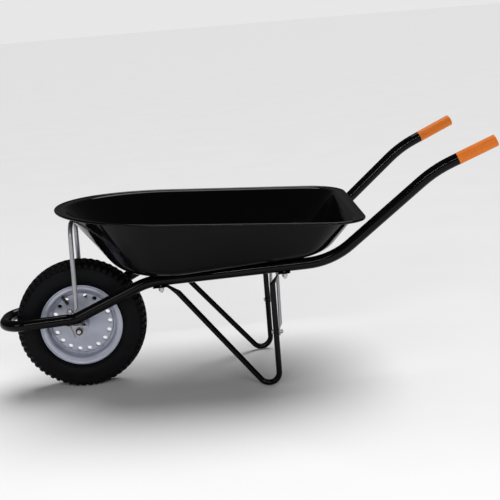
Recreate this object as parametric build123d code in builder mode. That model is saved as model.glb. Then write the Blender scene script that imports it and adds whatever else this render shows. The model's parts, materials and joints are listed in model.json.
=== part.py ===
from build123d import *
import os
from math import atan, cos, degrees, radians, sin, tan

# ---- driving dimensions, mm ----
WHEEL_X = -461.5  # wheel centre along the length, the origin being mid-length on the ground
TYRE_R = 185.0  # outer radius of the tyre, which stands on the ground
TUBE_R = 15.9  # main frame tube, 31.8 mm outside
TUBE_WALL = 2.0
LEG_R = 8.0  # leg tube, 16 mm outside
LEG_WALL = 1.5
STAY_R = 6.5  # front stay, 13 mm tube
BRACE_R = 4.75  # rear brace, 9.5 mm tube
TRAY_T = 1.5  # tray sheet
BEAD_R = 3.6  # rolled rim of the tray
GRIP_R = 16.1  # grips are almost flush with the tube
GRIP_LENGTH = 109.0
SPIGOT_R = 14.2  # swaged end of the tube inside each grip
AXLE_R = 6.0
NOSE_Y = 80.0  # half width between the nose tubes' centrelines
BRACKET_Y = 88.2  # inner face of the hanging plates of the axle brackets
BRACKET_T = 3.0
BRACKET_TOP_Z = 198.5
HUB_R = 20.5
HUB_HALF = 50.0
HOLE_COUNT = 18  # round holes in the wheel disc
HOLE_CIRCLE_R = 79.2
HOLE_R = 6.5
HOLE_TURN = -1.5  # degrees the hole pattern is turned from the rearward radius
VALVE_ANGLE = 120.0  # degrees from the rearward radius, in the parked position
VALVE_Y = -15.0
BOLT_R = 4.0
BRACE_BOLT_R = 3.0
UPRIGHT_X = 546.0  # the leg's upright behind the axle
FRONT_TAB_X = 258.0  # where the leg's flattened ends begin
REAR_TAB_X = 564.0
BRACE_BOLT_Z = 154.5

WHEEL_Z = TYRE_R
FRONT_BEND = (206.0, 115.6, 315.0)  # corners of the frame's left side, x from the axle, y outwards
REAR_BEND = (710.0, 199.5, 348.0)
RAIL_LENGTH = REAR_BEND[0] - FRONT_BEND[0]
RAIL_RISE = REAR_BEND[2] - FRONT_BEND[2]
RAIL_YAW = atan((REAR_BEND[1] - FRONT_BEND[1]) / RAIL_LENGTH)  # spread of the rails in plan
RAIL_SLOPE = atan(RAIL_RISE * cos(RAIL_YAW) / RAIL_LENGTH)  # rise along each rail
FLOOR_SLOPE = atan(RAIL_RISE / RAIL_LENGTH)  # the same rise along the barrow


def at(x, y, z):
    """A point whose x is measured rearwards from the wheel axle."""
    return Vector(x + WHEEL_X, y, z)


WHEEL_CENTRE = at(0, 0, WHEEL_Z)
WHEEL_AXIS = Axis(WHEEL_CENTRE, (0, 1, 0))
WHEEL_PLANE = Plane(origin=WHEEL_CENTRE, x_dir=(0, 1, 0), z_dir=(1, 0, 0))


def bent_line(points, radii):
    """Straight runs joined by tangent bends of the given centreline radii."""
    start = Vector(points[0])
    for index, radius in enumerate(radii, 1):
        corner = Vector(points[index])
        back = (Vector(points[index - 1]) - corner).normalized()
        ahead = (Vector(points[index + 1]) - corner).normalized()
        half = radians(back.get_angle(ahead)) / 2
        bend_in = corner + back * (radius / tan(half))
        bend_out = corner + ahead * (radius / tan(half))
        middle = corner + (back + ahead).normalized() * (radius / sin(half) - radius)
        Line(start, bend_in)
        ThreePointArc(bend_in, middle, bend_out)
        start = bend_out
    Line(start, Vector(points[-1]))


def rail_plane(side):
    """Upright plane through one rail: local x rearwards along it from the front bend, local y up."""
    rearward = Vector(cos(RAIL_YAW), side * sin(RAIL_YAW), 0)
    start = at(FRONT_BEND[0], side * FRONT_BEND[1], 0)
    return Plane(origin=start, x_dir=rearward, z_dir=rearward.cross(Vector(0, 0, 1)))


def rail_run(x):
    """Distance along a rail in plan, from its front bend to a place x behind the axle."""
    return (x - FRONT_BEND[0]) / cos(RAIL_YAW)


def rail_point(side, x, lift):
    """A point above or below the rail's centreline, square to it, at a distance x behind the axle."""
    along = rail_run(x)
    height = FRONT_BEND[2] + along * tan(RAIL_SLOPE)
    return rail_plane(side).from_local_coords(
        Vector(along - lift * sin(RAIL_SLOPE), height + lift * cos(RAIL_SLOPE), 0)
    )


def rail_up(side):
    """Direction square to the rail, upwards."""
    plane = rail_plane(side)
    return plane.x_dir * (-sin(RAIL_SLOPE)) + plane.y_dir * cos(RAIL_SLOPE)


def drill(point, direction, radius, length):
    """Straight hole centred on a point."""
    with Locations(Plane(origin=point, z_dir=direction)):
        Cylinder(radius, length, mode=Mode.SUBTRACT)


def add_rod(point, direction, radius, low, high):
    """Rod from low to high along a direction."""
    with Locations(Plane(origin=Vector(point) + Vector(direction) * low, z_dir=direction)):
        Cylinder(radius, high - low, align=(Align.CENTER, Align.CENTER, Align.MIN))


def add_nut(point, direction, flats, bore, low, high):
    """Hexagon nut from low to high along a direction."""
    with BuildSketch(Plane(origin=Vector(point) + Vector(direction) * low, z_dir=direction)) as hexagon:
        RegularPolygon(flats / 2, 6, major_radius=False)
        Circle(bore, mode=Mode.SUBTRACT)
    extrude(hexagon.sketch, amount=high - low)


def add_washer(point, direction, outer, bore, low, high):
    """Flat washer from low to high along a direction."""
    with BuildSketch(Plane(origin=Vector(point) + Vector(direction) * low, z_dir=direction)) as ring:
        Circle(outer)
        Circle(bore, mode=Mode.SUBTRACT)
    extrude(ring.sketch, amount=high - low)


def turned(points):
    """Closed profile in the wheel's half section (across, radius), revolved about the axle."""
    with BuildSketch(WHEEL_PLANE) as section:
        with BuildLine():
            Polyline(*points, close=True)
        make_face()
    revolve(section.sketch, axis=WHEEL_AXIS)


RAIL_BOLTS = [(side, x) for side in (-1, 1) for x in (240.0, 580.0)]
STAY_BOLT_X = -21.0
STAY_BOLT_Z = 217.6  # centreline of the nose tube above that bolt
FLOOR_LIFT = TUBE_R + 0.2  # underside of the tray floor above the rails' centreline

# ---- tray ----
FLOOR_PLANE = Plane(
    origin=at(0, 0, FRONT_BEND[2] + FLOOR_LIFT - FRONT_BEND[0] * tan(FLOOR_SLOPE)),
    x_dir=(cos(FLOOR_SLOPE), 0, sin(FLOOR_SLOPE)),
    z_dir=(-sin(FLOOR_SLOPE), 0, cos(FLOOR_SLOPE)),
)
RIM_SLOPE = radians(4.0)  # the rim falls towards the handles
RIM_PLANE = Plane(
    origin=at(0, 0, 519),
    x_dir=(cos(RIM_SLOPE), 0, -sin(RIM_SLOPE)),
    z_dir=(sin(RIM_SLOPE), 0, cos(RIM_SLOPE)),
)


def tray_outline(front, centre, half, flare, rear, corner):
    """Plan outline of the tray: elliptical front, sides flaring rearwards, square rounded back."""
    length = centre - front
    quarter = atan(half / (flare * length))
    EllipticalCenterArc((centre, 0), length, half, 180 - degrees(quarter), arc_size=2 * degrees(quarter))
    side_x = centre - length * cos(quarter)
    side_y = half * sin(quarter)
    reach = side_y + flare * (rear - side_x)
    bent_line([(side_x, -side_y), (rear, -reach), (rear, reach), (side_x, side_y)], [corner, corner])


with BuildPart() as tray_hollow:
    with BuildSketch(FLOOR_PLANE.offset(TRAY_T)):
        with BuildLine():
            tray_outline(127.5, 320, 190.4, 0.06, 696.5, 69.4)
        make_face()
    with BuildSketch(RIM_PLANE):
        with BuildLine():
            tray_outline(-12.1, 290, 269.3, 0.0375, 776.1, 83.3)
        make_face()
    loft()
    fillet(tray_hollow.faces().sort_by(Axis.Z)[0].edges(), radius=40.5)

with BuildSketch(RIM_PLANE.offset(-TRAY_T / 2)) as rim_shape:
    with BuildLine():
        tray_outline(-38, 290, 285, 0.0375, 806, 100)
    make_face()

with BuildPart() as tray:
    with BuildSketch(FLOOR_PLANE):
        with BuildLine():
            tray_outline(127, 320, 191, 0.06, 697, 70)
        make_face()
    with BuildSketch(RIM_PLANE):
        with BuildLine():
            tray_outline(-14, 290, 271, 0.0375, 778, 85)
        make_face()
    loft()
    fillet(tray.faces().sort_by(Axis.Z)[0].edges(), radius=42)
    add(tray_hollow.part, mode=Mode.SUBTRACT)
    with BuildSketch(RIM_PLANE):
        with BuildLine():
            tray_outline(-38, 290, 285, 0.0375, 806, 100)
        make_face()
        with BuildLine():
            tray_outline(-12.1, 290, 269.3, 0.0375, 776.1, 83.3)
        make_face(mode=Mode.SUBTRACT)
    extrude(amount=-TRAY_T)
    rim_run = rim_shape.sketch.face().outer_wire()
    with BuildSketch(Plane(origin=rim_run @ 0, z_dir=rim_run % 0)):
        Circle(BEAD_R)
    sweep(path=rim_run)
    for side, bolt_x in RAIL_BOLTS:
        drill(rail_point(side, bolt_x, FLOOR_LIFT), rail_up(side), BOLT_R + 0.3, 8)

# ---- main frame tube ----
HANDLE_END = (1151.0, 263.0, 644.0)
HANDLE_BEND = (990.0, 243.5, 576.0)
CREASE = (-6.0, NOSE_Y, 218.0)
NOSE_CORNER = (-217.0, NOSE_Y, 208.5)
SIDE_POINTS = (HANDLE_END, HANDLE_BEND, REAR_BEND, FRONT_BEND, CREASE, NOSE_CORNER)
SIDE_RADII = (320, 212, 190, 34, 66)


def grip_direction(side):
    """Direction of one handle end, rearwards."""
    run = Vector(*HANDLE_END) - Vector(*HANDLE_BEND)
    return Vector(run.X, side * run.Y, run.Z).normalized()


def grip_start(side):
    """Point where one grip begins."""
    end = at(HANDLE_END[0], side * HANDLE_END[1], HANDLE_END[2])
    return end - grip_direction(side) * GRIP_LENGTH


with BuildPart() as main_frame_tube:
    with BuildLine() as frame_run:
        left_points = [at(x, -y, z) for x, y, z in SIDE_POINTS]
        right_points = [at(x, y, z) for x, y, z in reversed(SIDE_POINTS)]
        left_points[0] = grip_start(-1)
        right_points[-1] = grip_start(1)
        bent_line(left_points + right_points, list(SIDE_RADII) + list(reversed(SIDE_RADII)))
    with BuildSketch(Plane(origin=frame_run.wire() @ 0, z_dir=frame_run.wire() % 0)):
        Circle(TUBE_R)
        Circle(TUBE_R - TUBE_WALL, mode=Mode.SUBTRACT)
    sweep(path=frame_run.wire())
    for side in (-1, 1):
        spigot_start = grip_start(side) - grip_direction(side) * 6
        with BuildSketch(Plane(origin=spigot_start, z_dir=grip_direction(side))):
            Circle(SPIGOT_R)
            Circle(SPIGOT_R - TUBE_WALL, mode=Mode.SUBTRACT)
        extrude(amount=GRIP_LENGTH)
        drill(at(STAY_BOLT_X, side * NOSE_Y, STAY_BOLT_Z), (0, 0, 1), BOLT_R + 0.2, 40)
    for side, bolt_x in RAIL_BOLTS:
        drill(rail_point(side, bolt_x, 0), rail_up(side), BOLT_R + 0.2, 40)


# ---- grips ----
def hand_grip(side):
    """Plain round sleeve with a rounded closed end."""
    along = grip_direction(side)
    with BuildPart() as grip:
        with BuildSketch(Plane(origin=grip_start(side) + along * 0.2, z_dir=along)):
            Circle(GRIP_R)
        extrude(amount=GRIP_LENGTH)
        rounds = grip.edges().filter_by(GeomType.CIRCLE).sort_by(Axis(grip_start(side), along))
        fillet(rounds[-1], radius=4)
        with BuildSketch(Plane(origin=grip_start(side) - along, z_dir=along)):
            Circle(SPIGOT_R + 0.05)
        extrude(amount=GRIP_LENGTH - 4, mode=Mode.SUBTRACT)
    return grip


left_grip = hand_grip(-1)
right_grip = hand_grip(1)


# ---- legs ----
def flat_end():
    """Section of a leg tube pressed flat."""
    Ellipse(12, 2.6)


def bent_leg(side):
    """V-shaped tube under one rail, both ends flattened and bolted up against it."""
    plane = rail_plane(side)
    tab_lift = -(TUBE_R + 2.8)
    along = plane.x_dir * cos(RAIL_SLOPE) + plane.y_dir * sin(RAIL_SLOPE)
    diagonal_top = plane.from_local_coords(Vector(rail_run(287), 279.5, 0))
    foot_corner = plane.from_local_coords(Vector(rail_run(UPRIGHT_X), -45.6, 0))
    upright_top = plane.from_local_coords(Vector(rail_run(UPRIGHT_X), 291, 0))
    downward = (foot_corner - diagonal_top).normalized()
    with BuildPart() as leg:
        with BuildLine() as leg_run:
            bent_line([diagonal_top, foot_corner, upright_top], [29.4])
        with BuildSketch(Plane(origin=diagonal_top, x_dir=plane.z_dir, z_dir=downward)):
            Circle(LEG_R)
            Circle(LEG_R - LEG_WALL, mode=Mode.SUBTRACT)
        sweep(path=leg_run.wire())
        front_end = rail_point(side, FRONT_TAB_X, tab_lift)
        rear_end = rail_point(side, REAR_TAB_X, tab_lift)
        with BuildSketch(Plane(origin=front_end, x_dir=plane.z_dir, z_dir=along)):
            flat_end()
        with BuildSketch(Plane(origin=diagonal_top, x_dir=plane.z_dir, z_dir=downward)):
            Circle(LEG_R)
        loft()
        with BuildSketch(Plane(origin=upright_top, x_dir=plane.z_dir, z_dir=(0, 0, 1))):
            Circle(LEG_R)
        with BuildSketch(Plane(origin=rear_end, x_dir=plane.z_dir, z_dir=along)):
            flat_end()
        loft()
        for tab_end, length in ((front_end, -39), (rear_end, 32)):
            with BuildSketch(Plane(origin=tab_end, x_dir=plane.z_dir, z_dir=along)):
                flat_end()
            extrude(amount=length)
        for bolt_side, bolt_x in RAIL_BOLTS:
            if bolt_side == side:
                drill(rail_point(side, bolt_x, tab_lift), rail_up(side), BOLT_R + 0.2, 12)
        drill(brace_bolt_point(side), plane.x_dir, BRACE_BOLT_R + 0.15, 40)
    return leg


def brace_bolt_point(side):
    """Centre of the bolt that holds the brace to one leg's upright."""
    return rail_plane(side).from_local_coords(Vector(rail_run(UPRIGHT_X), BRACE_BOLT_Z, 0))


left_leg = bent_leg(-1)
right_leg = bent_leg(1)

# ---- front stay ----
STAY_TAB_Z = STAY_BOLT_Z + TUBE_R + 2.7
STAY_TAB = (-11.0, 81.0, STAY_TAB_Z)  # where the flattened foot begins, x from the axle
STAY_FOOT = (-3.0, 82.0, 249.0)  # lowest round part of each arm
STAY_TOP = (4.0, 68.0, 481.5)
with BuildPart() as front_stay:
    with BuildLine() as stay_run:
        stay_sides = ((-1, STAY_FOOT), (-1, STAY_TOP), (1, STAY_TOP), (1, STAY_FOOT))
        stay_points = [at(x, side * y, z) for side, (x, y, z) in stay_sides]
        bent_line(stay_points, [40, 40])
    with BuildSketch(Plane(origin=stay_run.wire() @ 0, x_dir=(0, 1, 0), z_dir=stay_run.wire() % 0)):
        Circle(STAY_R)
        Circle(STAY_R - 1.2, mode=Mode.SUBTRACT)
    sweep(path=stay_run.wire())
    for side in (-1, 1):
        foot = at(STAY_FOOT[0], side * STAY_FOOT[1], STAY_FOOT[2])
        arm = at(STAY_TOP[0], side * STAY_TOP[1], STAY_TOP[2]) - foot
        tab = at(STAY_TAB[0], side * STAY_TAB[1], STAY_TAB[2])
        with BuildSketch(Plane(origin=foot, x_dir=(0, 1, 0), z_dir=arm.normalized())):
            Circle(STAY_R)
        with BuildSketch(Plane(origin=tab, x_dir=(0, 1, 0), z_dir=(1, 0, 0))):
            Ellipse(9, 2.2)
        loft()
        with BuildSketch(Plane(origin=tab, x_dir=(0, 1, 0), z_dir=(-1, 0, 0))):
            Ellipse(9, 2.2)
        extrude(amount=21)
        drill(at(STAY_BOLT_X, side * NOSE_Y, STAY_TAB_Z), (0, 0, 1), BOLT_R + 0.2, 10)

# ---- rear brace ----
with BuildPart() as rear_brace:
    brace_top = rail_point(-1, 566, FLOOR_LIFT - BRACE_R - 0.3).Z
    brace_feet = [brace_bolt_point(side) + Vector(LEG_R + BRACE_R + 0.6, 0, 22) for side in (-1, 1)]
    with BuildLine() as brace_run:
        brace_points = [brace_feet[0], at(564, -138, brace_top), at(564, 138, brace_top), brace_feet[1]]
        bent_line(brace_points, [26, 26])
    with BuildSketch(Plane(origin=brace_run.wire() @ 0, x_dir=(0, 1, 0), z_dir=brace_run.wire() % 0)):
        Circle(BRACE_R)
        Circle(BRACE_R - 1.2, mode=Mode.SUBTRACT)
    sweep(path=brace_run.wire())
    for foot, side in zip(brace_feet, (-1, 1)):
        outward = rail_plane(side).z_dir
        tab = brace_bolt_point(side) + rail_plane(side).x_dir * (LEG_R + 2.2)
        lean = (Vector(brace_points[1]) - Vector(brace_points[0])).normalized()
        rising = Vector(lean.X, abs(lean.Y) * -side, lean.Z)
        with BuildSketch(Plane(origin=foot, x_dir=outward, z_dir=rising)):
            Circle(BRACE_R)
        with BuildSketch(Plane(origin=tab + Vector(0, 0, 10), x_dir=outward, z_dir=(0, 0, 1))):
            Ellipse(7, 1.8)
        loft()
        with BuildSketch(Plane(origin=tab + Vector(0, 0, 10), x_dir=outward, z_dir=(0, 0, -1))):
            Ellipse(7, 1.8)
        extrude(amount=20)
        drill(tab, rail_plane(side).x_dir, BRACE_BOLT_R + 0.15, 12)


# ---- axle brackets ----
def axle_bracket(side):
    """Pressed hanger under the frame's crease: top tab, tapering plate, turned-out edges."""
    with BuildPart() as bracket:
        plate_face = Plane(origin=at(0, side * BRACKET_Y, 0), x_dir=(1, 0, 0), z_dir=(0, -1, 0))
        with BuildSketch(plate_face):
            with BuildLine():
                Polyline(
                    (-24, BRACKET_TOP_Z),
                    (21, BRACKET_TOP_Z),
                    (17.5, 182.5),
                    (12, 168.5),
                    (4, 164),
                    (-4, 164),
                    (-15, 166.5),
                    close=True,
                )
            make_face()
        extrude(amount=-side * BRACKET_T)
        tab_top = STAY_BOLT_Z - TUBE_R - 1.1
        with Locations(at(-14, side * (BRACKET_Y + BRACKET_T - 11), tab_top)):
            Box(42, 22, BRACKET_T, align=(Align.CENTER, Align.CENTER, Align.MAX))
        for top_x, low_x, low_z in ((-24, -15, 166.5), (21, 17.5, 182.5)):
            edge = Vector(low_x - top_x, 0, low_z - BRACKET_TOP_Z)
            middle = at((top_x + low_x) / 2, side * (BRACKET_Y + 4.5), (BRACKET_TOP_Z + low_z) / 2)
            with Locations(Plane(origin=middle, x_dir=edge.normalized(), z_dir=(0, 1, 0))):
                Box(edge.length, 3, 9)
        drill(at(STAY_BOLT_X, side * NOSE_Y, tab_top), (0, 0, 1), BOLT_R + 0.2, 12)
        drill(at(0, side * BRACKET_Y, WHEEL_Z), (0, 1, 0), AXLE_R + 0.15, 20)
    return bracket


left_axle_bracket = axle_bracket(-1)
right_axle_bracket = axle_bracket(1)

# ---- axle and its fastenings ----
with BuildPart() as axle:
    add_rod(WHEEL_CENTRE, (0, 1, 0), AXLE_R, -105, 105)
    chamfer(axle.edges().filter_by(GeomType.CIRCLE), 1)

with BuildPart() as axle_nuts:
    for side in (-1, 1):
        add_nut(WHEEL_CENTRE, (0, side, 0), 19, AXLE_R + 0.02, BRACKET_Y + 5.3, BRACKET_Y + 13.3)

with BuildPart() as axle_washers:
    for side in (-1, 1):
        add_washer(WHEEL_CENTRE, (0, side, 0), 11.4, AXLE_R + 0.3, BRACKET_Y + 3.1, BRACKET_Y + 5.1)

with BuildPart() as axle_spacers:
    for side in (-1, 1):
        add_washer(WHEEL_CENTRE, (0, side, 0), 9, AXLE_R + 0.1, HUB_HALF + 0.2, BRACKET_Y - 0.2)

# ---- wheel ----
with BuildPart() as wheel_hub:
    seat = HUB_HALF - 10.2
    left_half = [(-seat, 14), (-seat, 16.02), (-HUB_HALF, 16.02), (-HUB_HALF, HUB_R)]
    turned(left_half + [(-across, radius) for across, radius in reversed(left_half)])

with BuildPart() as bearing_outer_rings:
    for side in (-1, 1):
        inner, outer = side * (HUB_HALF - 10.1), side * (HUB_HALF - 0.1)
        turned([(inner, 13.2), (inner, 16), (outer, 16), (outer, 13.2)])

with BuildPart() as bearing_inner_rings:
    for side in (-1, 1):
        inner, outer = side * (HUB_HALF - 10.1), side * (HUB_HALF - 0.1)
        turned([(inner, AXLE_R + 0.03), (inner, 8.8), (outer, 8.8), (outer, AXLE_R + 0.03)])

with BuildPart() as bearing_balls:
    for side in (-1, 1):
        for step in range(8):
            turn = radians(45 * step)
            across = side * (HUB_HALF - 5.1)
            with Locations(WHEEL_CENTRE + Vector(11 * cos(turn), across, 11 * sin(turn))):
                Sphere(2.15)

RIM_SECTION = [
    (5.5, 20.6), (5.5, 87), (2.1, 90.5), (2.1, 95), (4.5, 97.5), (22, 98.5), (26.5, 100.5), (29.3, 104.5),
    (29.3, 111), (30.5, 114.4), (33, 115.2), (33, 117), (29.3, 116.4), (27.4, 113), (27.4, 105.4),
    (25, 102.4), (21.5, 100.4), (3.5, 99.4), (0.1, 96), (0.1, 89.6), (3.6, 86), (3.6, 20.6),
]


def wheel_point(across, radius, angle):
    """A point on the wheel at an angle from the rearward radius."""
    turn = radians(angle)
    return WHEEL_CENTRE + Vector(radius * cos(turn), across, radius * sin(turn))


def rim_half(side):
    """One pressed half of the rim with its ring of round holes."""
    with BuildPart() as half:
        turned([(side * across, radius) for across, radius in RIM_SECTION])
        for step in range(HOLE_COUNT):
            angle = HOLE_TURN + step * 360 / HOLE_COUNT
            drill(wheel_point(side * 4.5, HOLE_CIRCLE_R, angle), (0, 1, 0), HOLE_R, 12)
        if side < 0:
            spoke = wheel_point(0, 1, VALVE_ANGLE) - WHEEL_CENTRE
            drill(wheel_point(VALVE_Y, 99, VALVE_ANGLE), spoke, 4.6, 16)
    return half


left_rim_half = rim_half(-1)
right_rim_half = rim_half(1)

with BuildPart() as tyre:
    with BuildSketch(WHEEL_PLANE) as tyre_section:
        with BuildLine():
            ThreePointArc((0, TYRE_R), (14.7, TYRE_R - 1), (29, TYRE_R - 4))
            ThreePointArc((29, TYRE_R - 4), (40.6, 169), (44, 146))
            ThreePointArc((44, 146), (39.2, 127.5), (30.2, 120))
            Polyline((30.2, 120), (26.9, 113), (26.9, 106), (25.2, 103.8), (21.2, 103.6))
            Polyline((21.2, 103.6), (21.6, 112), (25.4, 121.6))
            ThreePointArc((25.4, 121.6), (36.4, 132.2), (38.8, 146))
            ThreePointArc((38.8, 146), (34.6, 163.6), (22, 174))
            ThreePointArc((22, 174), (11, 176.64), (0, 177.5))
            mirror(about=Plane.YZ)
        make_face()
    revolve(tyre_section.sketch, axis=WHEEL_AXIS)

with BuildPart() as inner_tube:
    with BuildSketch(WHEEL_PLANE) as tube_section:
        with BuildLine():
            ThreePointArc((0, 177), (10.85, 176.14), (21.7, 173.5))
            ThreePointArc((21.7, 173.5), (34.15, 163.3), (38.3, 146))
            ThreePointArc((38.3, 146), (35.95, 132.5), (24.9, 122.1))
            Polyline((24.9, 122.1), (21.1, 112.4), (20.6, 104), (19.4, 101), (4.5, 100.1), (0, 100.1))
            mirror(about=Plane.YZ)
        make_face()
        with BuildLine():
            ThreePointArc((0, 175.4), (10.6, 174.55), (21, 172))
            ThreePointArc((21, 172), (32.7, 162.3), (36.7, 146))
            ThreePointArc((36.7, 146), (34.5, 133.4), (23.6, 123.2))
            Polyline((23.6, 123.2), (19.6, 112.7), (19.1, 104.5), (18.4, 102.5), (4.4, 101.7), (0, 101.7))
            mirror(about=Plane.YZ)
        make_face(mode=Mode.SUBTRACT)
    revolve(tube_section.sketch, axis=WHEEL_AXIS)

VALVE_SPOKE = wheel_point(0, 1, VALVE_ANGLE) - WHEEL_CENTRE
VALVE_LINE = WHEEL_CENTRE + Vector(0, VALVE_Y, 0)
with BuildPart() as valve_stem:
    add_rod(VALVE_LINE, VALVE_SPOKE, 4.2, 79, 100)
    add_rod(VALVE_LINE, VALVE_SPOKE, 2.6, 72, 79)

with BuildPart() as valve_cap:
    add_rod(VALVE_LINE, VALVE_SPOKE, 4.4, 68, 78.6)
    cap_hollow = VALVE_LINE + VALVE_SPOKE * 75.3
    drill(cap_hollow, VALVE_SPOKE, 2.65, 7)

# ---- tray and leg bolts ----
with BuildPart() as tray_bolts:
    for side, bolt_x in RAIL_BOLTS:
        base = rail_point(side, bolt_x, 0)
        add_rod(base, rail_up(side), BOLT_R, -35, 20)
        add_rod(base, rail_up(side), 8, 19.5, 21.9)
        add_rod(base, rail_up(side), 6, 21.9, 23.5)

with BuildPart() as tray_bolt_washers:
    for side, bolt_x in RAIL_BOLTS:
        base = rail_point(side, bolt_x, 0)
        add_washer(base, rail_up(side), 10, BOLT_R + 0.2, 17.8, 19.4)
        add_washer(base, rail_up(side), 8.5, BOLT_R + 0.2, -23.1, -21.5)

with BuildPart() as tray_bolt_nuts:
    for side, bolt_x in RAIL_BOLTS:
        add_nut(rail_point(side, bolt_x, 0), rail_up(side), 13, BOLT_R + 0.02, -29.9, -23.3)

# ---- stay bolts ----
with BuildPart() as stay_bolts:
    for side in (-1, 1):
        base = at(STAY_BOLT_X, side * NOSE_Y, STAY_BOLT_Z)
        add_rod(base, (0, 0, 1), BOLT_R, -33, 25)
        add_nut(base, (0, 0, 1), 13, 1, 22.8, 28.3)
        add_rod(base, (0, 0, 1), 3, 22, 28)

with BuildPart() as stay_bolt_washers:
    for side in (-1, 1):
        base = at(STAY_BOLT_X, side * NOSE_Y, STAY_BOLT_Z)
        add_washer(base, (0, 0, 1), 8.5, BOLT_R + 0.2, 21.0, 22.6)

with BuildPart() as stay_bolt_nuts:
    for side in (-1, 1):
        base = at(STAY_BOLT_X, side * NOSE_Y, STAY_BOLT_Z)
        add_nut(base, (0, 0, 1), 13, BOLT_R + 0.02, -27.3, -20.7)

# ---- brace bolts ----
with BuildPart() as brace_bolts:
    for side in (-1, 1):
        base = brace_bolt_point(side)
        rearward = rail_plane(side).x_dir
        add_rod(base, rearward, BRACE_BOLT_R, -10, 20)
        add_rod(base, rearward, 6, -11.2, -8.8)

with BuildPart() as brace_bolt_nuts:
    for side in (-1, 1):
        add_nut(brace_bolt_point(side), rail_plane(side).x_dir, 10, BRACE_BOLT_R + 0.02, 13, 18)

PIECES = {
    "tray": tray,
    "main_frame_tube": main_frame_tube,
    "left_grip": left_grip,
    "right_grip": right_grip,
    "left_leg": left_leg,
    "right_leg": right_leg,
    "front_stay": front_stay,
    "rear_brace": rear_brace,
    "left_axle_bracket": left_axle_bracket,
    "right_axle_bracket": right_axle_bracket,
    "axle": axle,
    "axle_nuts": axle_nuts,
    "axle_washers": axle_washers,
    "axle_spacers": axle_spacers,
    "wheel_hub": wheel_hub,
    "bearing_outer_rings": bearing_outer_rings,
    "bearing_inner_rings": bearing_inner_rings,
    "bearing_balls": bearing_balls,
    "left_rim_half": left_rim_half,
    "right_rim_half": right_rim_half,
    "tyre": tyre,
    "inner_tube": inner_tube,
    "valve_stem": valve_stem,
    "valve_cap": valve_cap,
    "tray_bolts": tray_bolts,
    "tray_bolt_washers": tray_bolt_washers,
    "tray_bolt_nuts": tray_bolt_nuts,
    "stay_bolts": stay_bolts,
    "stay_bolt_washers": stay_bolt_washers,
    "stay_bolt_nuts": stay_bolt_nuts,
    "brace_bolts": brace_bolts,
    "brace_bolt_nuts": brace_bolt_nuts,
}

os.makedirs("parts", exist_ok=True)
for name, piece in PIECES.items():
    piece.part.label = name
    export_step(piece.part, f"parts/{name}.step")
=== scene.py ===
import json
from math import atan, cos, pi, radians, sin, tan

import bpy
from mathutils import Matrix, Vector


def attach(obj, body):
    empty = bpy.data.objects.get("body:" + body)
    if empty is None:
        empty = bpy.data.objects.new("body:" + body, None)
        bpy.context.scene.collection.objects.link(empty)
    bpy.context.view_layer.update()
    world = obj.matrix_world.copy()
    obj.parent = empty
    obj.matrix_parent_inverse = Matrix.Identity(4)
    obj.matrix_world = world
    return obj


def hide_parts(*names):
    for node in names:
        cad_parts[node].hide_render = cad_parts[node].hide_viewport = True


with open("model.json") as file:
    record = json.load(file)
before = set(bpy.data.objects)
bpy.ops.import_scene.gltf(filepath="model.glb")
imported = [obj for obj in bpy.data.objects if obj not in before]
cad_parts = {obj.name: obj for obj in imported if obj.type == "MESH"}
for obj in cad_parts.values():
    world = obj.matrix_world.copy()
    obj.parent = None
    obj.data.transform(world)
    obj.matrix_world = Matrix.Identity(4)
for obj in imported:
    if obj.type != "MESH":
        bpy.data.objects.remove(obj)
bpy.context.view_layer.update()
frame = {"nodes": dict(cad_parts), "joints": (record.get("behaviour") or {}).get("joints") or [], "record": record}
nodes = frame["nodes"]

# ---- the barrow's own places, in metres ----
AXLE = Vector(frame["joints"][0]["pos_m"])
ACROSS = Vector((0, 1, 0))


# ---- camera ----
CAMERA_PLACE = (-0.0685, -3.0411, 1.0365)
CAMERA_HEADING = radians(-1.99)  # turned from straight across the barrow towards its handles
CAMERA_DIP = radians(12.68)  # looking down
CAMERA_ROLL = radians(-4.73)
CAMERA_LENS = 78.3


def place_camera():
    """Camera beside the barrow on its left, looking slightly down on it."""
    bpy.ops.object.camera_add()
    camera = bpy.context.object
    camera.name = "camera"
    camera.data.lens = CAMERA_LENS
    heading = Matrix.Rotation(CAMERA_HEADING, 4, "Z")
    dip = Matrix.Rotation(pi / 2 - CAMERA_DIP, 4, "X")
    roll = Matrix.Rotation(CAMERA_ROLL, 4, "Z")
    camera.matrix_world = Matrix.Translation(CAMERA_PLACE) @ heading @ dip @ roll
    bpy.context.scene.camera = camera


# ---- shader building ----
class Value:
    """A number in a shader. Sums on it add their Math nodes."""

    def __init__(self, finish, socket):
        self.finish = finish
        self.socket = socket

    def math(self, operation, *values):
        inputs = {index: value for index, value in enumerate(values)}
        return self.finish.node("ShaderNodeMath", {"operation": operation}, inputs)

    def __add__(self, other):
        return self.math("ADD", self, other)

    def __sub__(self, other):
        return self.math("SUBTRACT", self, other)

    def __rsub__(self, other):
        return self.math("SUBTRACT", other, self)

    def __mul__(self, other):
        return self.math("MULTIPLY", self, other)

    def __pow__(self, other):
        return self.math("POWER", self, other)

    __radd__ = __add__
    __rmul__ = __mul__

    def step(self, low, high):
        """0 below low, 1 above high, and smooth between them."""
        sockets = {"Value": self, "From Min": low, "From Max": high}
        settings = {"interpolation_type": "SMOOTHSTEP"}
        return self.finish.node("ShaderNodeMapRange", settings, sockets)


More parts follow.
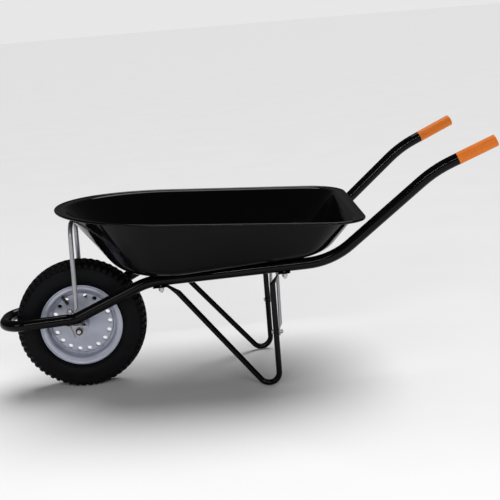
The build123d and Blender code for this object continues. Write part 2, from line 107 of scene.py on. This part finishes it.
class Finish:
    """One material, made node by node around its Principled shader."""

    def __init__(self, name):
        self.material = bpy.data.materials.new(name)
        self.material.use_nodes = True
        self.tree = self.material.node_tree
        self.shader = self.tree.nodes["Principled BSDF"]
        self.place = self.node("ShaderNodeTexCoord", output="Object")

    def node(self, kind, settings=None, sockets=None, output=0):
        """Adds a node, makes its settings, then feeds its sockets with values or links."""
        made = self.tree.nodes.new(kind)
        for key, value in (settings or {}).items():
            setattr(made, key, value)
        for key, value in (sockets or {}).items():
            self.feed(made.inputs[key], value)
        return Value(self, made.outputs[output])

    def feed(self, socket, value):
        if isinstance(value, Value):
            self.tree.links.new(value.socket, socket)
        else:
            socket.default_value = value

    def set(self, **values):
        """Feeds the Principled shader, whose socket names are written with underscores."""
        for key, value in values.items():
            self.feed(self.shader.inputs[key.replace("_", " ")], value)

    def noise(self, scale, detail=3, roughness=0.5, distortion=0.0, vector=None):
        sockets = {"Scale": scale, "Detail": detail, "Roughness": roughness, "Distortion": distortion}
        return self.node("ShaderNodeTexNoise", sockets={"Vector": vector or self.place, **sockets})

    def stretched(self, scale, turn=(0, 0, 0)):
        """Object coordinates stretched along an axis, for brushed or drawn marks."""
        sockets = {"Vector": self.place, "Rotation": turn, "Scale": scale}
        return self.node("ShaderNodeMapping", sockets=sockets)

    def mix(self, amount, first, second):
        """A colour between two colours."""
        sockets = {"Factor": amount, 6: first, 7: second}
        return self.node("ShaderNodeMix", {"data_type": "RGBA"}, sockets, output=2)

    def bump(self, height, strength, distance, normal=None):
        sockets = {"Height": height, "Strength": strength, "Distance": distance}
        if normal:
            sockets["Normal"] = normal
        return self.node("ShaderNodeBump", sockets=sockets)

    def from_axle(self):
        """Distance from the wheel's axle."""
        made = self.node("ShaderNodeSeparateXYZ", sockets={"Vector": self.place})
        x, z = (Value(self, made.socket.node.outputs[name]) for name in "XZ")
        return ((x - AXLE.x) ** 2 + (z - AXLE.z) ** 2) ** 0.5


def grey(level):
    return (level, level, level, 1)


# ---- finishes ----
RING_PHASE = 2600  # radians per metre, a moulded ring every 2.4 mm


def black_enamel():
    """Gloss black enamel: a faint orange peel, a thin film of dust and fine rubs in the gloss."""
    finish = Finish("black_enamel")
    film = finish.noise(9, 4, 0.6)
    specks = finish.noise(900, 2).step(0.66, 0.72)
    dust = film.step(0.45, 0.8) * 0.35 + specks * 0.4
    colour = finish.mix(dust * 0.3, (0.0018, 0.0017, 0.0022, 1), (0.014, 0.0135, 0.014, 1))
    rubs = finish.noise(60, 5, 0.65, vector=finish.stretched((1, 6, 6)))
    peel = finish.noise(260, 2)
    waves = finish.noise(14, 1)
    shape = finish.bump(waves, 0.25, 0.0012)
    finish.set(
        Base_Color=colour,
        Roughness=0.05 + rubs * 0.06 + dust * 0.1,
        Normal=finish.bump(peel, 0.12, 0.0003, shape),
        Specular_IOR_Level=0.14,
    )
    return finish.material


def galvanised_steel():
    """Dull zinc plate: soft cloudy patches, long drawing marks and a few darker handling marks."""
    finish = Finish("galvanised_steel")
    clouds = finish.noise(38, 4, 0.6)
    drawn = finish.noise(240, 3, vector=finish.stretched((1, 1, 0.08)))
    marks = finish.noise(120, 5, 0.7).step(0.62, 0.78)
    tone = clouds * 0.6 + drawn * 0.4
    plate = finish.mix(tone, (0.29, 0.29, 0.32, 1), (0.55, 0.55, 0.59, 1))
    colour = finish.mix(marks * 0.45, plate, (0.16, 0.155, 0.16, 1))
    finish.set(
        Base_Color=colour,
        Metallic=0.75,
        Roughness=0.36 + clouds * 0.16 + marks * 0.12,
        Normal=finish.bump(drawn + clouds, 0.15, 0.0003),
    )
    return finish.material


def zinc_steel():
    """Bright zinc on turned and rolled fasteners, duller in spots."""
    finish = Finish("zinc_steel")
    spots = finish.noise(210, 4, 0.6)
    colour = finish.mix(spots, (0.34, 0.34, 0.35, 1), (0.72, 0.71, 0.69, 1))
    finish.set(
        Base_Color=colour,
        Metallic=0.9,
        Roughness=0.24 + spots * 0.22,
        Normal=finish.bump(finish.noise(700, 3), 0.12, 0.0002),
    )
    return finish.material


def dark_steel():
    """Oil-blackened nut: nearly black with brighter worn corners in spots."""
    finish = Finish("dark_steel")
    worn = finish.noise(260, 4, 0.65).step(0.5, 0.75)
    finish.set(
        Base_Color=finish.mix(worn, (0.012, 0.012, 0.014, 1), (0.14, 0.14, 0.145, 1)),
        Metallic=0.6,
        Roughness=0.34 + worn * 0.14,
        Normal=finish.bump(finish.noise(600, 3), 0.12, 0.0002),
    )
    return finish.material


def silver_paint():
    """Silver powder coat: fine flake, soft unevenness, some dirt in random patches, and painted shade in a ring
    where the disc meets the rim.
    """
    finish = Finish("silver_paint")
    radius = finish.from_axle()
    flake = finish.noise(2600, 1)
    cloud = finish.noise(30, 4, 0.55)
    # painted shade: a darker ring 88 to 101 mm from the axle, in the well where the disc meets the rim flange
    rim_well_shade = radius.step(0.088, 0.093) * (1 - radius.step(0.095, 0.101))
    # the dark mix below is partly this painted shade and partly dirt in random cloudy patches
    dirt_and_rim_shade = (rim_well_shade * 0.5 + cloud.step(0.5, 0.85) * 0.3) * finish.noise(150, 4, 0.7).step(0.3, 0.8)
    coat = finish.mix(flake, (0.4, 0.42, 0.5, 1), (0.62, 0.65, 0.76, 1))
    finish.set(
        Base_Color=finish.mix(dirt_and_rim_shade, coat, (0.17, 0.165, 0.17, 1)),
        Metallic=0.55,
        Roughness=0.36 + cloud * 0.14 + dirt_and_rim_shade * 0.2,
        Normal=finish.bump(finish.noise(420, 3), 0.15, 0.0003),
    )
    return finish.material


def tyre_rubber():
    """Black rubber: mould rings on the sidewall, a fine grain and pale dust in the tread."""
    finish = Finish("tyre_rubber")
    radius = finish.from_axle()
    phase = radius * RING_PHASE
    rings = phase.math("SINE", phase) * (1 - radius.step(0.15, 0.156))
    grain = finish.noise(800, 3)
    bloom = finish.noise(24, 5, 0.65).step(0.42, 0.8)
    colour = finish.mix(bloom * 0.55, (0.0016, 0.0018, 0.0026, 1), (0.009, 0.0095, 0.012, 1))
    finish.set(
        Base_Color=colour,
        Roughness=0.5 + bloom * 0.2 + grain * 0.08,
        Specular_IOR_Level=0.12,
        Normal=finish.bump(rings * 0.5 + grain * 0.6, 0.2, 0.0004),
    )
    return finish.material


def tube_rubber():
    """Soft inner tube and valve rubber with a talc bloom."""
    finish = Finish("tube_rubber")
    bloom = finish.noise(70, 4, 0.6)
    finish.set(
        Base_Color=finish.mix(bloom, (0.008, 0.008, 0.009, 1), (0.03, 0.03, 0.032, 1)),
        Roughness=0.5 + bloom * 0.2,
        Normal=finish.bump(finish.noise(500, 2), 0.15, 0.0002),
    )
    return finish.material


def orange_plastic():
    """Satin orange moulding: fine spark-eroded grain, flow marks and light scuffs."""
    finish = Finish("orange_plastic")
    flow = finish.noise(26, 3, 0.5, 1.2)
    grain = finish.noise(1300, 2)
    scuffs = finish.noise(160, 5, 0.7, vector=finish.stretched((0.25, 2, 2))).step(0.58, 0.75)
    body = finish.mix(flow, (0.7, 0.15, 0.005, 1), (0.8, 0.21, 0.012, 1))
    finish.set(
        Base_Color=finish.mix(scuffs * 0.25, body, (0.88, 0.36, 0.1, 1)),
        Roughness=0.4 + flow * 0.12 + scuffs * 0.12,
        Specular_IOR_Level=0.3,
        Normal=finish.bump(grain, 0.22, 0.0003),
    )
    return finish.material


def black_plastic():
    """Moulded black cap with a light grain."""
    finish = Finish("black_plastic")
    grain = finish.noise(1500, 2)
    finish.set(
        Base_Color=finish.mix(grain, (0.008, 0.008, 0.008, 1), (0.022, 0.022, 0.022, 1)),
        Roughness=0.42 + grain * 0.12,
        Normal=finish.bump(grain, 0.2, 0.0002),
    )
    return finish.material


def bearing_steel():
    """Ground bearing steel with a film of oil."""
    finish = Finish("bearing_steel")
    film = finish.noise(320, 3)
    finish.set(
        Base_Color=finish.mix(film, (0.5, 0.5, 0.5, 1), (0.68, 0.67, 0.64, 1)),
        Metallic=1.0,
        Roughness=0.12 + film * 0.12,
    )
    return finish.material


FINISHES = {
    "black_enamel": black_enamel(),
    "galvanised_steel": galvanised_steel(),
    "zinc_steel": zinc_steel(),
    "dark_steel": dark_steel(),
    "silver_paint": silver_paint(),
    "tyre_rubber": tyre_rubber(),
    "tube_rubber": tube_rubber(),
    "orange_plastic": orange_plastic(),
    "black_plastic": black_plastic(),
    "bearing_steel": bearing_steel(),
}


def finish_with(piece, slot):
    """Gives a piece one finish all over."""
    piece.data.materials.clear()
    piece.data.materials.append(FINISHES[slot])


def finish_frame_nodes():
    """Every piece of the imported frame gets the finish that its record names."""
    for subpart in frame["record"]["subparts"]:
        finish_with(nodes[subpart["node"]], subpart["material_slot"])


# ---- drawing by hand ----
MERGE_REACH = 0.00002


def set_down(name):
    """One loose point at the origin in edit mode, from which an outline is drawn."""
    bpy.ops.object.select_all(action="DESELECT")
    bpy.ops.mesh.primitive_plane_add(size=0.001, location=(0, 0, 0))
    piece = bpy.context.object
    piece.name = name
    bpy.ops.object.mode_set(mode="EDIT")
    bpy.ops.mesh.select_all(action="SELECT")
    bpy.ops.mesh.merge(type="CENTER")
    return piece


def drawn(name, points, filled=False):
    """A closed outline, extruded from point to point."""
    piece = set_down(name)
    bpy.ops.transform.translate(value=points[0])
    for here, there in zip(points, points[1:]):
        bpy.ops.mesh.extrude_region_move(TRANSFORM_OT_translate={"value": Vector(there) - Vector(here)})
    bpy.ops.mesh.select_all(action="SELECT")
    if filled:
        bpy.ops.mesh.edge_face_add()
    else:
        close_ends(piece)
    return piece


def close_ends(piece):
    """Joins an open outline's two ends with one edge."""
    bpy.ops.mesh.select_all(action="DESELECT")
    bpy.ops.object.mode_set(mode="OBJECT")
    piece.data.vertices[0].select = True
    piece.data.vertices[len(piece.data.vertices) - 1].select = True
    bpy.ops.object.mode_set(mode="EDIT")
    bpy.ops.mesh.edge_face_add()
    bpy.ops.mesh.select_all(action="SELECT")


def clean():
    """Merges doubles and turns every face outwards."""
    bpy.ops.mesh.select_all(action="SELECT")
    bpy.ops.mesh.remove_doubles(threshold=MERGE_REACH)
    bpy.ops.mesh.normals_make_consistent(inside=False)


def joined(pieces):
    """Joins pieces into the first one and leaves it active."""
    bpy.ops.object.select_all(action="DESELECT")
    for piece in pieces:
        piece.select_set(True)
    bpy.context.view_layer.objects.active = pieces[0]
    bpy.ops.object.join()
    return pieces[0]


def with_modifier(piece, name, kind, **settings):
    """Adds one modifier, makes its settings and applies it."""
    bpy.context.view_layer.objects.active = piece
    modifier = piece.modifiers.new(name, kind)
    for key, value in settings.items():
        setattr(modifier, key, value)
    bpy.ops.object.modifier_apply(modifier=name)


def smooth(piece, angle):
    """Smooth shading, with edges sharper than the angle in degrees kept crisp."""
    bpy.ops.object.select_all(action="DESELECT")
    piece.select_set(True)
    bpy.context.view_layer.objects.active = piece
    bpy.ops.object.shade_smooth_by_angle(angle=radians(angle))


# ---- tyre ----
TURN_STEPS = 120
BLOCK_EDGE = 0.0007  # bevel round each tread block
PITCHES = 60  # tread blocks round the tyre
BLOCK_ANGLE = radians(3.3)
CARCASS = [  # half section in mm: across, radius
    (0, 180.2), (14, 179.8), (26, 178), (34, 175), (38.3, 171), (40.6, 167.8), (42.6, 166.8), (43.4, 163),
    (42.3, 161.8), (43.6, 154), (43.8, 146), (42.4, 134), (37.5, 125), (31, 120.6), (27, 115), (26.9, 106.4),
    (25.2, 103.9), (21.3, 103.7), (21.6, 112), (25.4, 121.6), (34, 127.6), (38, 137), (38.8, 146), (37, 158),
    (32, 167.5), (22, 174), (10, 176.6), (0, 177),
]
SHOULDER_BLOCK = [
    (42.2, 168.6), (41, 172.4), (38, 178), (33, 181.6), (19, 184.1), (19, 176), (33, 172), (38.4, 167),
]
CENTRE_BLOCK = [(16, 184.5), (2.2, 185), (2.2, 178), (16, 177)]


def on_wheel(across, radius, turn=0.0):
    """A place on the wheel, from millimetres across and out from the axle, turned from the top."""
    out = radius / 1000
    return AXLE + Vector((out * sin(turn), across / 1000, out * cos(turn)))


def spun_carcass():
    """The tyre's casing: its section spun round the axle."""
    near = [on_wheel(-across, radius) for across, radius in reversed(CARCASS[1:-1])]
    far = [on_wheel(across, radius) for across, radius in CARCASS]
    casing = drawn("treaded_tyre", far + near)
    bpy.ops.mesh.spin(steps=TURN_STEPS, angle=2 * pi, center=AXLE, axis=ACROSS)
    clean()
    bpy.ops.object.mode_set(mode="OBJECT")
    with_modifier(casing, "rounding", "SUBSURF", levels=1, render_levels=1)
    return casing


def tread_row(name, section, side, turn):
    """One row of tread blocks: a block spun a few degrees, bevelled, and repeated round the tyre."""
    points = [on_wheel(side * across, radius, turn) for across, radius in section]
    row = drawn(name, points, filled=True)
    bpy.ops.mesh.spin(steps=2, angle=BLOCK_ANGLE, center=AXLE, axis=ACROSS)
    clean()
    bpy.ops.mesh.select_all(action="DESELECT")
    bpy.ops.mesh.edges_select_sharp(sharpness=radians(40))
    bpy.ops.mesh.bevel(offset=BLOCK_EDGE, segments=1, affect="EDGES", clamp_overlap=True)
    bpy.ops.mesh.select_all(action="SELECT")
    last = 2 * pi * (PITCHES - 1) / PITCHES
    bpy.ops.mesh.spin(steps=PITCHES - 1, dupli=True, angle=last, center=AXLE, axis=ACROSS)
    bpy.ops.mesh.select_all(action="SELECT")
    bpy.ops.mesh.normals_make_consistent(inside=False)
    bpy.ops.object.mode_set(mode="OBJECT")
    return row


def treaded_tyre():
    """Pneumatic tyre with a block tread: shoulder blocks in line, centre blocks staggered between them."""
    half_pitch = pi / PITCHES
    rows = [spun_carcass()]
    for side, stagger in ((-1, 0), (1, half_pitch)):
        rows.append(tread_row("shoulder_blocks", SHOULDER_BLOCK, side, stagger))
        rows.append(tread_row("centre_blocks", CENTRE_BLOCK, side, stagger + half_pitch))
    tyre = joined(rows)
    tyre.name = "treaded_tyre"
    smooth(tyre, 32)
    finish_with(tyre, "tyre_rubber")
    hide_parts("tyre")
    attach(tyre, "wheel")


# ---- tray ----
SHEET = 0.0015
LIP_BEND = 0.0055  # reach of the bend between wall and lip
ROLL_R = 2.85  # mm, middle of the sheet in the rolled rim
ROLL_START = 140  # degrees from outwards, where the lip meets the roll
ROLL_STEP = 27
LIP_RISE = 7  # mm of the lip that rises to the roll
BEND_FULLNESS = 0.63  # how far a bend's handles reach towards its corner
FLOOR_RISE = atan(33 / 504)  # upwards towards the handles
RIM_FALL = radians(4)  # downwards towards the handles
FLOOR_HEIGHT = 0.3311  # underside of the floor at the front bend of the rails
FRONT_BEND_X = 0.206  # that bend, behind the axle
RIM_HEIGHT = 0.519  # top of the lip, straight above the axle
FLOOR_ORIGIN = Vector((AXLE.x, 0, FLOOR_HEIGHT - FRONT_BEND_X * tan(FLOOR_RISE) + SHEET / 2))
RIM_ORIGIN = Vector((AXLE.x, 0, RIM_HEIGHT - SHEET / 2))
# plan outlines in mm from the axle: front, widest point of the nose, half width, flare, rear, corner radius
FLAT_FLOOR = (184, 320, 166.5, 0.06, 661, 50)
FLOOR_EDGE = (127.5, 320, 190.7, 0.06, 701, 66)
WALL_TOP = (-13, 290, 270.2, 0.0375, 777, 84)
LIP_EDGE = (-38, 290, 285, 0.0375, 806, 100)


def outline(shape, grow=0.0):
    """Plan outline in mm: half ellipse in front, sides flaring rearwards, rounded rear corners."""
    front, centre, half, flare, rear, corner = shape
    front, half, rear, corner = front - grow, half + grow, rear + grow, corner + grow
    length = centre - front
    quarter = atan(half / (flare * length))
    lean = atan(flare)
    side_x = centre - length * cos(quarter)
    side_y = half * sin(quarter)
    reach = side_y + flare * (rear - side_x)
    bend = corner / tan((pi / 2 - lean) / 2)
    bend_x = rear - bend * cos(lean)
    bend_y = reach - bend * sin(lean)
    middle_x = rear - corner
    middle_y = reach - bend
    points = []
    for step in range(21):
        turn = quarter * step / 20
        points.append((centre - length * cos(turn), half * sin(turn)))
    for step in range(1, 10):
        share = step / 10
        points.append((side_x + (bend_x - side_x) * share, side_y + (bend_y - side_y) * share))
    for step in range(11):
        turn = (pi / 2 + lean) * (1 - step / 10)
        points.append((middle_x + corner * cos(turn), middle_y + corner * sin(turn)))
    for step in range(1, 7):
        points.append((rear, middle_y * (1 - step / 6)))
    mirrored = [(x, -y) for x, y in reversed(points[1:-1])]
    return points + mirrored


def on_floor(shape):
    """An outline laid on the tray's sloping floor."""
    along = Vector((cos(FLOOR_RISE), 0, sin(FLOOR_RISE)))
    return [FLOOR_ORIGIN + along * x / 1000 + ACROSS * y / 1000 for x, y in outline(shape)]


def on_rim(shape, grow=0.0, lift=0.0):
    """An outline in the plane of the tray's rim, lifted square to it."""
    along = Vector((cos(RIM_FALL), 0, -sin(RIM_FALL)))
    up = Vector((sin(RIM_FALL), 0, cos(RIM_FALL)))
    place = RIM_ORIGIN + up * lift / 1000
    return [place + along * x / 1000 + ACROSS * y / 1000 for x, y in outline(shape, grow)]


def curve_between(first, corner, last, share):
    """A place on a smooth bend from first to last round a corner."""
    second = first.lerp(corner, BEND_FULLNESS)
    third = last.lerp(corner, BEND_FULLNESS)
    rest = 1 - share
    return first * rest**3 + second * 3 * rest**2 * share + third * 3 * rest * share**2 + last * share**3


def tray_levels():
    """Rings of the tray's sheet, from the flat floor up the wall and out to the rolled rim."""
    flat = on_floor(FLAT_FLOOR)
    foot = on_floor(FLOOR_EDGE)
    top = on_rim(WALL_TOP)
    lip = on_rim(LIP_EDGE)
    rings = [flat]
    turn_in = [(edge - start).length for start, edge in zip(flat, foot)]
    wall_start = [low + (high - low).normalized() * reach for low, high, reach in zip(foot, top, turn_in)]
    wall_end = [high + (low - high).normalized() * LIP_BEND for low, high in zip(foot, top)]
    lip_start = [high + (edge - high).normalized() * LIP_BEND for high, edge in zip(top, lip)]
    for step in range(1, 9):
        bends = zip(flat, foot, wall_start)
        rings.append([curve_between(first, corner, last, step / 8) for first, corner, last in bends])
    for step in range(1, 8):
        rings.append([low.lerp(high, step / 8) for low, high in zip(wall_start, wall_end)])
    for step in range(6):
        bends = zip(wall_end, top, lip_start)
        rings.append([curve_between(first, corner, last, step / 5) for first, corner, last in bends])
    rings.append(on_rim(LIP_EDGE, -LIP_RISE))
    for step in range(13):
        turn = radians(ROLL_START - ROLL_STEP * step)
        rings.append(on_rim(LIP_EDGE, ROLL_R * cos(turn), ROLL_R * sin(turn)))
    return rings


def pressed_tray():
    """The tray pressed from one sheet: dished floor, rounded corners, flared wall and rolled rim."""
    levels = tray_levels()
    tray = drawn("pressed_tray", levels[0], filled=True)
    bpy.ops.object.mode_set(mode="OBJECT")
    for points in levels[1:]:
        ring = drawn("ring", points)
        bpy.ops.object.mode_set(mode="OBJECT")
        joined([tray, ring])
        bpy.ops.object.mode_set(mode="EDIT")
        bpy.ops.mesh.select_all(action="DESELECT")
        bpy.ops.mesh.select_non_manifold(use_multi_face=False, use_non_contiguous=False, use_verts=False)
        bpy.ops.mesh.bridge_edge_loops()
        bpy.ops.object.mode_set(mode="OBJECT")
    bpy.ops.object.mode_set(mode="EDIT")
    clean()
    bpy.ops.object.mode_set(mode="OBJECT")
    with_modifier(tray, "sheet", "SOLIDIFY", thickness=SHEET, offset=0, use_even_offset=True)
    with_modifier(tray, "rounding", "SUBSURF", levels=1, render_levels=1)
    smooth(tray, 50)
    finish_with(tray, "black_enamel")
    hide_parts("tray")
    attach(tray, "barrow")


# ---- studio ----
ROOM_GLOW = 0.07  # what the room gives to the surfaces
BACKDROP_GLOW = 0.8  # what is seen behind the floor
FLOOR_R = 60


def pale_floor():
    """Large pale floor under the barrow."""
    bpy.ops.mesh.primitive_circle_add(vertices=96, radius=FLOOR_R, fill_type="NGON")
    floor = bpy.context.object
    floor.name = "studio_floor"
    finish = Finish("studio_floor")
    tone = finish.noise(3, 4)
    finish.set(
        Base_Color=finish.mix(tone, grey(0.79), grey(0.83)),
        Roughness=0.7 + tone * 0.1,
        Specular_IOR_Level=0.1,
    )
    floor.data.materials.append(finish.material)


def softbox(name, place, aim, size, power):
    """Rectangular area light turned towards a point."""
    bpy.ops.object.light_add(type="AREA", location=place)
    light = bpy.context.object
    light.name = name
    light.data.shape = "RECTANGLE"
    light.data.size, light.data.size_y = size
    light.data.energy = power
    light.rotation_euler = (Vector(aim) - Vector(place)).to_track_quat("-Z", "Y").to_euler()


def studio_light():
    """A broad sun from behind, a thin strip in front, a side box and a dim room."""
    bpy.ops.object.light_add(type="SUN")
    sun = bpy.context.object
    sun.name = "broad_sun"
    sun.data.energy = 3.0
    sun.data.angle = radians(50)
    sun.rotation_euler = Vector((0.6, 0.8, 2.6)).to_track_quat("Z", "Y").to_euler()
    softbox("front_strip", (0.1, -3.4, 2.0), (0.1, 0, 0.35), (3.4, 0.08), 42)
    softbox("side_box", (-2.6, -2.2, 1.5), (-0.4, 0, 0.25), (1.0, 1.0), 10)
    room = bpy.data.worlds.new("studio_room")
    bpy.context.scene.world = room
    room.use_nodes = True
    nodes_of_room = room.node_tree.nodes
    seen = nodes_of_room.new("ShaderNodeLightPath")
    level = nodes_of_room.new("ShaderNodeMapRange")
    level.inputs["To Min"].default_value = ROOM_GLOW
    level.inputs["To Max"].default_value = BACKDROP_GLOW
    room.node_tree.links.new(seen.outputs["Is Camera Ray"], level.inputs["Value"])
    room.node_tree.links.new(level.outputs["Result"], nodes_of_room["Background"].inputs["Strength"])
    nodes_of_room["Background"].inputs["Color"].default_value = grey(1)
    bpy.context.scene.view_settings.view_transform = "Standard"


place_camera()
finish_frame_nodes()
treaded_tyre()
pressed_tray()
pale_floor()
studio_light()
